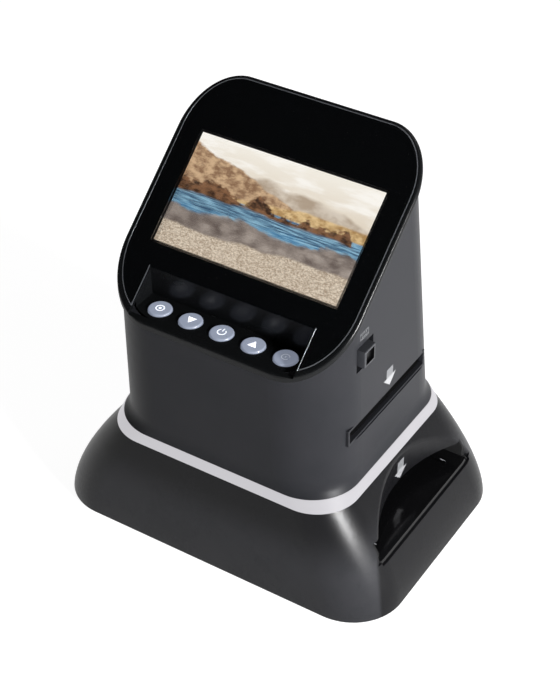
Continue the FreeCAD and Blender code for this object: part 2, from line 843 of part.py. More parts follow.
def make_bezel():
    """Black front frame: rounded rim, display opening, key notch with its tray, inner lip."""
    low_z = face_z(panel_front_y) - overrun
    height = face_z(panel_back_y) - low_z + overrun
    slab = panel_outline_prism(0, low_z, height).common(panel_slab(-bezel_thickness, 0))
    rim_edges = []
    for edge in slab.Edges:
        mid = edge.valueAt((edge.FirstParameter + edge.LastParameter) * half)
        if abs(mid.z - face_z(mid.y)) < screw_clearance:
            rim_edges.append(edge)
    slab = slab.makeFillet(panel_edge_round, rim_edges)
    seat = panel_outline_prism(panel_rim, low_z, height).common(panel_slab(-sheet_thickness,
                                                                          overrun))
    slab = slab.cut(seat)
    lip = lip_prism(0).cut(lip_prism(lip_wall))
    lip = lip.common(panel_slab(-bezel_thickness - lip_height, -bezel_thickness))
    lip = lip.cut(box(-notch_half_width, notch_half_width, panel_front_y, notch_back_y,
                      key_board_top_z, tray_under_z))
    u, v = lcd_screw_places()[-1]
    ear_u = u + lcd_screw_radius + key_gap
    ear_v = v + lcd_screw_radius + key_gap
    lip = lip.cut(on_panel(box(-ear_u, ear_u, -ear_v, ear_v, -bezel_thickness - lip_height,
                               -bezel_thickness)))
    tray = key_tray().cut(panel_slab(-sheet_thickness, overrun + overrun))
    posts = [rod(post_radius, Vector(x, y, key_board_top_z), Vector(x, y, tray_under_z))
             for x, y in key_post_places()]
    lcd_back = sheet_thickness + lcd_thickness
    bosses = []
    for u, v in lcd_screw_places():
        bosses.append(on_panel(rod(lcd_screw_radius, Vector(u, v, -lcd_back),
                                   Vector(u, v, -sheet_thickness - key_gap))))
    frame = join([slab, lip, tray] + bosses)
    opening_u = lcd_width * half + key_gap
    opening_v = lcd_height * half + key_gap
    frame = frame.cut(on_panel(box(-opening_u, opening_u, -opening_v, opening_v,
                                   -lip_height - lcd_back, overrun)))
    frame = join([frame.cut(notch_volume())] + posts)
    for x in key_places:
        frame = frame.cut(rod(key_radius + key_gap, Vector(x, key_row_y, tray_under_z),
                              Vector(x, key_row_y, notch_floor_z)))
    return frame


def window_size(extra):
    return screen_width * half + window_border + extra, screen_height * half + window_border + extra


def make_face_sheet():
    """Thin gloss sheet over the whole panel inside the rim, open at the display and notch."""
    low_z = face_z(panel_front_y) - overrun
    height = face_z(panel_back_y) - low_z + overrun
    inset = panel_rim + mouth_inset
    sheet = panel_outline_prism(inset, low_z, height).common(panel_slab(-sheet_thickness, 0))
    u, v = window_size(0)
    sheet = sheet.cut(on_panel(box(-u, u, -v, v, -sheet_thickness - overrun, overrun)))
    return sheet.cut(notch_volume())


def make_screen_window():
    u, v = window_size(-mouth_inset)
    return on_panel(box(-u, u, -v, v, -sheet_thickness, 0))


def make_lcd():
    u = lcd_width * half
    v = lcd_height * half
    return on_panel(box(-u, u, -v, v, -sheet_thickness - lcd_thickness, -sheet_thickness))


def make_lcd_plate():
    """Steel plate behind the display, with an ear at each corner on the frame's bosses."""
    back = -sheet_thickness - lcd_thickness
    u = lcd_width * half - lcd_plate_border
    v = lcd_height * half - lcd_plate_border
    plate = box(-u, u, -v, v, back - lcd_plate_thickness, back)
    ears = []
    for x, y in lcd_screw_places():
        reach = math.copysign(lcd_screw_radius, y)
        low, high = sorted((y + reach, y - reach * (lcd_plate_border + lcd_screw_radius)))
        ears.append(box(x - lcd_screw_radius, x + lcd_screw_radius, low, high,
                        back - lcd_plate_thickness, back))
    return on_panel(join([plate] + ears))


def make_key(x):
    """Round key: domed cap, retaining flange below the tray and a stem for its switch."""
    top_z = notch_floor_z + key_proud
    flange_low_z = key_flange_top_z - key_flange_thickness
    cap = rod(key_radius, Vector(x, key_row_y, flange_low_z), Vector(x, key_row_y, top_z))
    rim = [edge for edge in cap.Edges if abs(edge.CenterOfMass.z - top_z) < screw_clearance]
    cap = cap.makeFillet(key_edge_round, rim)
    flange = rod(key_flange_radius, Vector(x, key_row_y, flange_low_z),
                 Vector(x, key_row_y, key_flange_top_z))
    stem = rod(key_stem_radius, Vector(x, key_row_y, key_stem_low_z),
               Vector(x, key_row_y, flange_low_z))
    return join([cap, flange, stem])


def make_key_board():
    reach_x = key_places[-1] + key_radius + key_board_margin
    return box(-reach_x, reach_x, key_row_y - key_board_half_depth,
               key_row_y + key_board_half_depth,
               key_board_top_z - board_thickness, key_board_top_z)


def make_key_switches():
    """Row of tact switches, one under each key."""
    side = switch_body_side * half
    body_top = key_board_top_z + switch_body_height
    switches = []
    for x in key_places:
        body = box(x - side, x + side, key_row_y - side, key_row_y + side,
                   key_board_top_z, body_top)
        plunger = rod(switch_plunger_radius, Vector(x, key_row_y, body_top),
                      Vector(x, key_row_y, key_switch_top_z))
        switches.append(body.fuse(plunger))
    return Part.makeCompound(switches)


# Film format button

def button_block(half_y, half_z, x0, x1):
    return box(x0, x1, button_centre_y - half_y, button_centre_y + half_y,
               button_centre_z - half_z, button_centre_z + half_z)


def surround_flange_x():
    """Outer face of the surround's flange, just behind the leaning wall."""
    top_z = button_centre_z + recess_height * half + surround_flange_border
    return tower_half_width_at(top_z) - shell_wall - surround_seat_gap


def make_format_surround():
    """Sunk black surround that fills the window in the wall and guides the button."""
    flange_x = surround_flange_x()
    face_x = tower_half_width_at(button_centre_z + recess_height * half) - recess_depth
    body = button_block(recess_width * half - surround_gap, recess_height * half - surround_gap,
                        flange_x, face_x)
    flange = button_block(recess_width * half + surround_flange_border,
                          recess_height * half + surround_flange_border,
                          flange_x - surround_flange_thickness, flange_x)
    surround = body.fuse(flange).removeSplitter()
    return surround.cut(button_block(button_width * half + button_gap,
                                     button_height * half + button_gap, 0,
                                     tower_half_width + overrun))


def button_flange_x():
    """Outer face of the button's flange, just behind the surround."""
    return surround_flange_x() - surround_flange_thickness - button_gap


def make_format_button():
    """Square push button, proud of the wall, with a dished face, a flange and a stem."""
    face_x = tower_half_width_at(button_centre_z) + button_proud
    flange_x = button_flange_x()
    stem_x = flange_x - button_flange_thickness
    cap = button_block(button_width * half, button_height * half, flange_x, face_x)
    front_edges = [edge for edge in cap.Edges
                   if abs(edge.CenterOfMass.x - face_x) < screw_clearance]
    cap = cap.makeFillet(button_edge_round, front_edges)
    cap = cap.cut(button_block(button_width * half - button_dish_border,
                               button_height * half - button_dish_border,
                               face_x - button_dish_depth, face_x))
    flange = button_block(button_width * half + button_flange_border,
                          button_height * half + button_flange_border, stem_x, flange_x)
    stem = rod(button_stem_radius, Vector(stem_x, button_centre_y, button_centre_z),
               Vector(stem_x - button_stem_length, button_centre_y, button_centre_z))
    return join([cap, flange, stem])


def latch_front_x():
    return (button_flange_x() - button_flange_thickness - button_stem_length
            - button_travel - button_gap)


def latch_board_x():
    """Face of the small board that the posts of the tower and the latch stand on."""
    return latch_front_x() - latch_length


def make_format_latch():
    side = latch_side * half
    return button_block(side, side, latch_board_x(), latch_front_x())


def make_latch_board():
    half_z = latch_post_spacing * half + latch_board_border
    return button_block(latch_board_half_width, half_z, latch_board_x() - board_thickness,
                        latch_board_x())


# Main board and sockets

def socket_sizes():
    return [(usb_x, usb_width, usb_height), (hdmi_x, hdmi_width, hdmi_height),
            (card_x, card_width, card_height)]


def socket_block(x, width, height, extra, reach):
    """Block of a socket from the board to the back wall, grown by extra for its window."""
    back_y = tower_back_at(socket_z + height * half) - mouth_inset + reach
    return box(x - width * half - extra, x + width * half + extra, main_board_y + board_thickness,
               back_y, socket_z - height * half - extra, socket_z + height * half + extra)


def make_socket(x, width, height):
    """Thin metal shell, open at the back, with a tongue inside."""
    shell = socket_block(x, width, height, 0, 0)
    room = socket_block(x, width, height, -socket_wall, overrun)
    room.translate(Vector(0, board_thickness, 0))
    tongue = box(x - width * half + socket_wall + socket_tongue + socket_tongue,
                 x + width * half - socket_wall - socket_tongue - socket_tongue,
                 main_board_y + board_thickness, tower_back_at(socket_z) - board_thickness,
                 socket_z - socket_tongue * half, socket_z + socket_tongue * half)
    return join([shell.cut(room), tongue])


def make_main_board():
    """Upright board with its main chip, on posts inside the back wall."""
    board = box(-main_board_half_width, main_board_half_width, main_board_y,
                main_board_y + board_thickness, main_board_low_z, main_board_high_z)
    chip = box(-chip_side * half, chip_side * half, main_board_y - chip_height, main_board_y,
               socket_z, socket_z + chip_side)
    return board.fuse(chip)


def main():
    os.makedirs("parts", exist_ok=True)
    export("base_skirt", make_base_skirt())
    export("base_plate", make_base_plate())
    export("rubber_feet", make_feet())
    export("base_screws", make_base_screws())
    export("tower_screws", make_tower_screws())
    export("light_ring", make_light_ring())
    export("tower_shell", make_tower_shell())
    export("film_track_lower", make_lower_track())
    export("film_track_upper", make_upper_track())
    export("slot_mouth_right", make_slot_mouth(1))
    export("slot_mouth_left", make_slot_mouth(-1))
    export("backlight_pan", on_path(make_backlight_pan()))
    export("light_guide", on_path(make_light_guide()))
    export("backlight_diffuser", on_path(make_diffuser()))
    export("led_strip", on_path(make_led_strip()))
    export("light_tunnel", on_path(make_light_tunnel()))
    export("camera_hood", on_path(make_camera_hood()))
    export("lens_barrel", on_path(make_lens_barrel()))
    export("front_lens", on_path(make_lens()))
    export("sensor_board", on_path(make_sensor_board()))
    export("bezel", make_bezel())
    export("face_sheet", make_face_sheet())
    export("screen_window", make_screen_window())
    export("lcd_panel", make_lcd())
    export("lcd_plate", make_lcd_plate())
    for number, x in enumerate(key_places, start=1):
        export("key_" + str(number), make_key(x))
    export("key_board", make_key_board())
    export("key_switches", make_key_switches())
    export("format_surround", make_format_surround())
    export("format_button", make_format_button())
    export("format_latch", make_format_latch())
    export("latch_board", make_latch_board())
    export("main_board", make_main_board())
    export("usb_socket", make_socket(usb_x, usb_width, usb_height))
    export("hdmi_socket", make_socket(hdmi_x, hdmi_width, hdmi_height))
    export("card_socket", make_socket(card_x, card_width, card_height))


main()
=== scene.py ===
import math

import bpy
import numpy as np
from mathutils import Matrix, Vector


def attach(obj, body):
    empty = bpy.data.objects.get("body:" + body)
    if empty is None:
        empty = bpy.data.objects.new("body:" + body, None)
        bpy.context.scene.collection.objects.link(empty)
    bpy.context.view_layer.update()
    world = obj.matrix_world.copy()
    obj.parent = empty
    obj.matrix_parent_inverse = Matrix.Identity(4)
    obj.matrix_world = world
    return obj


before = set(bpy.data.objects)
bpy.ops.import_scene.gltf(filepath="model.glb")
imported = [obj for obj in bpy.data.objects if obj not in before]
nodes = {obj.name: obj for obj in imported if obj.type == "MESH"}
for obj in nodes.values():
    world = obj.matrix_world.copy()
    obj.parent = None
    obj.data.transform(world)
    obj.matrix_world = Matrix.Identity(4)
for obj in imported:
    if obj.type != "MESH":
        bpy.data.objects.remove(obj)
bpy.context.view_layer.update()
scene = bpy.context.scene

MM = 0.001

# The panel: its slope, its outward direction, and the picture on it (metres)

TILT = math.radians(40.0)
PANEL_NORMAL = np.array([0.0, -math.sin(TILT), math.cos(TILT)])
SCREEN_CENTRE = np.array([0.0, -9.0, 166.5]) * MM
SCREEN_WIDTH = 95.0 * MM
SCREEN_HEIGHT = 53.8 * MM

# Places and sizes that the looks share with the solids (millimetres)

NOTCH_HALF_WIDTH, NOTCH_BACK, NOTCH_FRONT = 43.2, -38.6, -54.0
KEY_X = [-33.0, -16.5, 0.0, 16.5, 33.0]
KEY_Y, KEY_TOP = -46.3, 126.7
BUTTON_Y, BUTTON_Z = -24.5, 125.2
DISH_HALF_WIDTH, DISH_HALF_HEIGHT = 3.43, 3.33
WALL_LEAN = math.tan(math.radians(1.3))
SCOOP_RADIUS, SCOOP_AXIS_X, SCOOP_Y = 72.0, 138.0, 2.0
SCOOP_ROUNDING = 2.5
LOWER_SLOT_Y, LOWER_CHEEK = 1.2, 41.9
INK_ON_KEY, INK_ON_WALL = 0.02, 0.05


# Colours

def srgb(red, green, blue):
    """A colour written as it looks on screen (0 to 255), turned to scene light."""
    share = np.array([red, green, blue]) / 255.0
    light = np.where(share <= 0.04045, share / 12.92, ((share + 0.055) / 1.055) ** 2.4)
    return (*light.tolist(), 1.0)


# Building blocks for materials

class Sheet:
    """A node tree with short calls for adding and joining nodes."""

    def __init__(self, tree):
        self.tree = tree

    def add(self, kind, settings=None, **inputs):
        node = self.tree.nodes.new(kind)
        for key, value in (settings or {}).items():
            setattr(node, key, value)
        for key, value in inputs.items():
            self.feed(node.inputs[key.replace("_", " ")], value)
        return node

    def feed(self, socket, value):
        if isinstance(value, bpy.types.NodeSocket):
            self.tree.links.new(value, socket)
        else:
            socket.default_value = value

    def math(self, operation, first, second=0.0, clamp=False):
        node = self.tree.nodes.new("ShaderNodeMath")
        node.operation = operation
        node.use_clamp = clamp
        self.feed(node.inputs[0], first)
        self.feed(node.inputs[1], second)
        return node.outputs[0]

    def remap(self, value, low, high, to_low, to_high, smooth=False):
        node = self.add("ShaderNodeMapRange",
                        {"interpolation_type": "SMOOTHSTEP" if smooth else "LINEAR"},
                        Value=value, From_Min=low, From_Max=high, To_Min=to_low, To_Max=to_high)
        return node.outputs["Result"]

    def blend(self, share, first, second):
        node = self.tree.nodes.new("ShaderNodeMix")
        node.data_type = "RGBA"
        self.feed(node.inputs["Factor"], share)
        self.feed(node.inputs[6], first)
        self.feed(node.inputs[7], second)
        return node.outputs[2]

    def noise(self, vector, scale, detail=2.0, roughness=0.5):
        node = self.add("ShaderNodeTexNoise", Vector=vector, Scale=scale, Detail=detail,
                        Roughness=roughness)
        return node.outputs["Fac"]

    def cells(self, vector, scale):
        node = self.add("ShaderNodeTexVoronoi", Vector=vector, Scale=scale)
        return node.outputs["Distance"]

    def group(self, tree, **inputs):
        node = self.tree.nodes.new("ShaderNodeGroup")
        node.node_tree = tree
        for key, value in inputs.items():
            self.feed(node.inputs[key.replace("_", " ")], value)
        return node


def new_group(name, inputs, outputs):
    """A shader node group with named float or vector inputs and outputs."""
    tree = bpy.data.node_groups.new(name, "ShaderNodeTree")
    for title, kind in inputs:
        tree.interface.new_socket(title, in_out="INPUT", socket_type="NodeSocket" + kind)
    for title, kind in outputs:
        tree.interface.new_socket(title, in_out="OUTPUT", socket_type="NodeSocket" + kind)
    sheet = Sheet(tree)
    entry = sheet.add("NodeGroupInput")
    leave = sheet.add("NodeGroupOutput")
    return sheet, entry.outputs, leave.inputs


def make_moulded_grain():
    """Spark-eroded skin of a moulding: fine pits, with broad patches a little smoother."""
    sheet, given, out = new_group("moulded_grain",
                                  [("Vector", "Vector"), ("Scale", "Float"), ("Patch", "Float"),
                                   ("Base", "Float")],
                                  [("Height", "Float"), ("Roughness", "Float"),
                                   ("Shade", "Float")])
    pits = sheet.cells(given["Vector"], given["Scale"])
    fine = sheet.noise(given["Vector"], sheet.math("MULTIPLY", given["Scale"], 2.3), 3.0)
    sheet.feed(out["Height"], sheet.math("ADD", sheet.math("MULTIPLY", pits, 0.6),
                                         sheet.math("MULTIPLY", fine, 0.4)))
    broad = sheet.noise(given["Vector"], 26.0, 4.0, 0.6)
    swing = sheet.math("MULTIPLY", sheet.math("SUBTRACT", broad, 0.5), given["Patch"])
    grit = sheet.math("MULTIPLY", sheet.math("SUBTRACT", fine, 0.5), 0.08)
    sheet.feed(out["Roughness"], sheet.math("ADD", given["Base"], sheet.math("ADD", swing, grit)))
    sheet.feed(out["Shade"], sheet.remap(sheet.math("ADD", sheet.math("MULTIPLY", broad, 0.7),
                                                    sheet.math("MULTIPLY", fine, 0.3)),
                                         0.3, 0.7, 0.0, 1.0))
    return sheet.tree


def make_finger_marks():
    """Faint wipes and finger marks on a gloss face, as a change of roughness, with dust."""
    sheet, given, out = new_group("finger_marks",
                                  [("Vector", "Vector"), ("Clean", "Float"), ("Marked", "Float")],
                                  [("Roughness", "Float"), ("Dust", "Float")])
    wipe = sheet.add("ShaderNodeMapping", Vector=given["Vector"], Rotation=(0.0, 0.0, 0.6),
                     Scale=(18.0, 90.0, 40.0))
    wipes = sheet.noise(wipe.outputs[0], 1.0, 3.0, 0.6)
    blots = sheet.noise(given["Vector"], 70.0, 2.0, 0.4)
    marks = sheet.math("MULTIPLY", sheet.remap(wipes, 0.45, 0.75, 0.0, 1.0, True),
                       sheet.remap(blots, 0.45, 0.65, 0.2, 1.0, True))
    sheet.feed(out["Roughness"], sheet.remap(marks, 0.0, 1.0, given["Clean"], given["Marked"]))
    specks = sheet.cells(given["Vector"], 420.0)
    sheet.feed(out["Dust"], sheet.remap(specks, 0.035, 0.05, 1.0, 0.0))
    return sheet.tree


def make_ridge():
    """A wavy skyline across a picture: 1 below the line, 0 above it."""
    sheet, given, out = new_group("ridge",
                                  [("Across", "Float"), ("Up", "Float"), ("Height", "Float"),
                                   ("Slope", "Float"), ("Swing", "Float"), ("Scale", "Float"),
                                   ("Lump", "Float"), ("Seed", "Float"), ("Softness", "Float")],
                                  [("Below", "Float")])
    along = sheet.math("ADD", sheet.math("MULTIPLY", given["Across"], given["Scale"]),
                       given["Seed"])
    wave = sheet.add("ShaderNodeTexNoise", {"noise_dimensions": "1D"}, W=along, Scale=1.0,
                     Detail=2.0, Roughness=0.5)
    broad = sheet.math("MULTIPLY", sheet.math("SUBTRACT", wave.outputs["Fac"], 0.5),
                       given["Swing"])
    spot = sheet.add("ShaderNodeCombineXYZ", X=along,
                     Y=sheet.math("MULTIPLY", given["Up"], given["Scale"]))
    crown = sheet.noise(spot.outputs[0], 6.0, 3.0, 0.6)
    swing = sheet.math("ADD", broad, sheet.math("MULTIPLY", sheet.math("SUBTRACT", crown, 0.5),
                                                given["Lump"]))
    line = sheet.math("ADD", sheet.math("ADD", given["Height"], swing),
                      sheet.math("MULTIPLY", given["Across"], given["Slope"]))
    below = sheet.math("DIVIDE", sheet.math("SUBTRACT", line, given["Up"]), given["Softness"])
    sheet.feed(out["Below"], sheet.math("ADD", below, 0.5, clamp=True))
    return sheet.tree


GRAIN = make_moulded_grain()
MARKS = make_finger_marks()
RIDGE = make_ridge()


def opened(material):
    """The sheet, the Principled shader and the object coordinates of a material."""
    sheet = Sheet(material.node_tree)
    shader = material.node_tree.nodes["Principled BSDF"]
    place = sheet.add("ShaderNodeTexCoord").outputs["Object"]
    return sheet, shader, place


def new_material(name):
    """A plain material, followed by what opened() gives of it."""
    material = bpy.data.materials.new(name)
    material.use_nodes = True
    return (material, *opened(material))


def bump(sheet, shader, height, distance):
    """Relief on a surface: distance is the depth in metres of a height from 0 to 1."""
    node = sheet.add("ShaderNodeBump", Height=height, Distance=distance)
    sheet.feed(shader.inputs["Normal"], node.outputs["Normal"])


def recoloured(sheet, shader, mask, colour):
    """Turns the base colour of a made material to another one where the mask is 1."""
    made = shader.inputs["Base Color"].links[0].from_socket
    sheet.feed(shader.inputs["Base Color"], sheet.blend(mask, made, colour))


def moulded(name, dark, light, base, patch, scale, depth, level=0.5):
    """Moulded plastic with a fine grain; colour moves between dark and light, roughness lies
    around base, and level sets how strongly it mirrors."""
    material, sheet, shader, place = new_material(name)
    grain = sheet.group(GRAIN, Vector=place, Scale=scale, Patch=patch, Base=base)
    colour = sheet.blend(grain.outputs["Shade"], dark, light)
    sheet.feed(shader.inputs["Base Color"], colour)
    sheet.feed(shader.inputs["Roughness"], grain.outputs["Roughness"])
    shader.inputs["Specular IOR Level"].default_value = level
    bump(sheet, shader, grain.outputs["Height"], depth)
    return material


def distance_from_scoop(sheet, place):
    """Distance from the upright axis of the nearer finger scoop (metres)."""
    axes = sheet.add("ShaderNodeSeparateXYZ", Vector=place).outputs
    aside = sheet.math("SUBTRACT", sheet.math("ABSOLUTE", axes["X"]), SCOOP_AXIS_X * MM)
    along = sheet.math("SUBTRACT", axes["Y"], SCOOP_Y * MM)
    square = sheet.math("ADD", sheet.math("MULTIPLY", aside, aside),
                        sheet.math("MULTIPLY", along, along))
    return sheet.math("SQRT", square)


def base_with_painted_shade(name, dark, light, base, patch, scale, depth, level):
    """Moulded plastic of the base, with painted shade: its colour turns near-black in its scoops
    and towards its top edge, where shade falls.
    """
    material = moulded(name, dark, light, base, patch, scale, depth, level)
    sheet, shader, place = opened(material)
    scoop_shade = sheet.remap(distance_from_scoop(sheet, place), (SCOOP_RADIUS - 0.1) * MM,
                         (SCOOP_RADIUS + SCOOP_ROUNDING) * MM, 1.0, 0.0, True)
    height = sheet.add("ShaderNodeSeparateXYZ", Vector=place).outputs["Z"]
    top_shade = sheet.remap(height, 20.0 * MM, 44.0 * MM, 0.0, 1.0, True)
    # painted shade: near-black blended in over the scoops and over the upper part of the base
    recoloured(sheet, shader, sheet.math("MAXIMUM", scoop_shade, top_shade), srgb(14, 14, 16))
    return material


def mouth_lining(name):
    """Gloss black lining of the lower slot: polished shelf, dull cheeks at its two ends."""
    material = gloss(name, srgb(10, 10, 11), srgb(58, 56, 54), 0.10, 0.24)
    sheet, shader, place = opened(material)
    along = sheet.add("ShaderNodeSeparateXYZ", Vector=place).outputs["Y"]
    off_middle = sheet.math("ABSOLUTE", sheet.math("SUBTRACT", along, LOWER_SLOT_Y * MM))
    cheek = sheet.math("GREATER_THAN", off_middle, LOWER_CHEEK * MM)
    polish = shader.inputs["Roughness"].links[0].from_socket
    sheet.feed(shader.inputs["Roughness"], sheet.math("MAXIMUM", polish, cheek))
    return material


def ring_with_painted_glow(name):
    """Milky plastic with a painted glow: an even emission that keeps the ring bright all round in
    place of the light on it, with a trace of flow marks.
    """
    material = moulded(name, srgb(60, 59, 61), srgb(69, 68, 70), 0.42, 0.15, 1500.0, 0.00001,
                       level=0.12)
    shader = material.node_tree.nodes["Principled BSDF"]
    # painted glow: the ring emits light though no lamp is within it
    shader.inputs["Emission Color"].default_value = srgb(252, 250, 255)
    shader.inputs["Emission Strength"].default_value = 0.54
    return material


def dished_button(name):
    """Grey button with a dish sunk in its face; the dish is painted near-black as shade."""
    material = moulded(name, srgb(44, 45, 48), srgb(54, 55, 58), 0.34, 0.15, 2600.0, 0.00002,
                       level=0.3)
    sheet, shader, place = opened(material)
    axes = sheet.add("ShaderNodeSeparateXYZ", Vector=place).outputs
    off_y = sheet.math("ABSOLUTE", sheet.math("SUBTRACT", axes["Y"], BUTTON_Y * MM))
    off_z = sheet.math("ABSOLUTE", sheet.math("SUBTRACT", axes["Z"], BUTTON_Z * MM))
    dish = sheet.math("MULTIPLY", sheet.math("LESS_THAN", off_y, DISH_HALF_WIDTH * MM),
                      sheet.math("LESS_THAN", off_z, DISH_HALF_HEIGHT * MM))
    # painted shade: the sunk dish is coloured near-black
    recoloured(sheet, shader, dish, srgb(5, 5, 6))
    return material


def gloss(name, colour, dust, clean, marked, level=0.5):
    """Polished plastic with faint wipes and a few specks of dust."""
    material, sheet, shader, place = new_material(name)
    marks = sheet.group(MARKS, Vector=place, Clean=clean, Marked=marked)
    sheet.feed(shader.inputs["Base Color"], sheet.blend(marks.outputs["Dust"], colour, dust))
    sheet.feed(shader.inputs["Roughness"], marks.outputs["Roughness"])
    shader.inputs["Specular IOR Level"].default_value = level
    wave = sheet.noise(place, 45.0, 1.0)
    bump(sheet, shader, wave, 0.00002)
    return material


def brushed(name, dark, light, rough, stretch):
    """Rolled or drawn metal: fine lines along one axis."""
    material, sheet, shader, place = new_material(name)
    drawn = sheet.add("ShaderNodeMapping", Vector=place, Scale=stretch)
    lines = sheet.noise(drawn.outputs[0], 1.0, 3.0, 0.6)
    sheet.feed(shader.inputs["Base Color"], sheet.blend(lines, dark, light))
    sheet.feed(shader.inputs["Roughness"], sheet.remap(lines, 0.3, 0.7, rough - 0.08,
                                                       rough + 0.08))
    shader.inputs["Metallic"].default_value = 1.0
    bump(sheet, shader, lines, 0.00001)
    return material


def clear(name, tint, ior, rough):
    """Clear moulded plastic or glass with the faintest haze."""
    material, sheet, shader, place = new_material(name)
    haze = sheet.noise(place, 60.0, 2.0)
    sheet.feed(shader.inputs["Roughness"], sheet.remap(haze, 0.3, 0.7, rough * 0.5, rough * 1.5))
    shader.inputs["Base Color"].default_value = tint
    shader.inputs["Transmission Weight"].default_value = 1.0
    shader.inputs["IOR"].default_value = ior
    return material


def pearl_with_painted_glow(name):
    """Satin silver paint on the keys: fine metal flake over a smooth cap, with a painted glow
    that brightens the caps.
    """
    material, sheet, shader, place = new_material(name)
    flake = sheet.noise(place, 5200.0, 1.0)
    worn = sheet.noise(place, 300.0, 3.0)
    tone = sheet.blend(flake, srgb(100, 105, 116), srgb(122, 128, 140))
    sheet.feed(shader.inputs["Base Color"], tone)
    sheet.feed(shader.inputs["Roughness"], sheet.remap(worn, 0.3, 0.7, 0.26, 0.38))
    # painted glow: the caps emit a little pale blue light of their own in place of light falling
    # on them
    shader.inputs["Emission Color"].default_value = srgb(208, 220, 248)
    shader.inputs["Emission Strength"].default_value = 0.28
    shader.inputs["Coat Weight"].default_value = 0.3
    shader.inputs["Coat Roughness"].default_value = 0.12
    bump(sheet, shader, flake, 0.000004)
    return material


def circuit_board(name):
    """Green solder resist with raised tracks under it and bright pads."""
    material, sheet, shader, place = new_material(name)
    grid = sheet.add("ShaderNodeTexBrick", Vector=place, Scale=180.0, Mortar_Size=0.06)
    tracks = sheet.remap(grid.outputs["Fac"], 0.0, 1.0, 1.0, 0.0)
    pads = sheet.remap(sheet.cells(place, 260.0), 0.14, 0.17, 1.0, 0.0)
    green = sheet.blend(tracks, srgb(38, 92, 58), srgb(24, 66, 42))
    sheet.feed(shader.inputs["Base Color"], sheet.blend(pads, green, srgb(206, 190, 130)))
    sheet.feed(shader.inputs["Metallic"], pads)
    shader.inputs["Roughness"].default_value = 0.32
    bump(sheet, shader, sheet.math("ADD", tracks, pads), 0.00003)
    return material


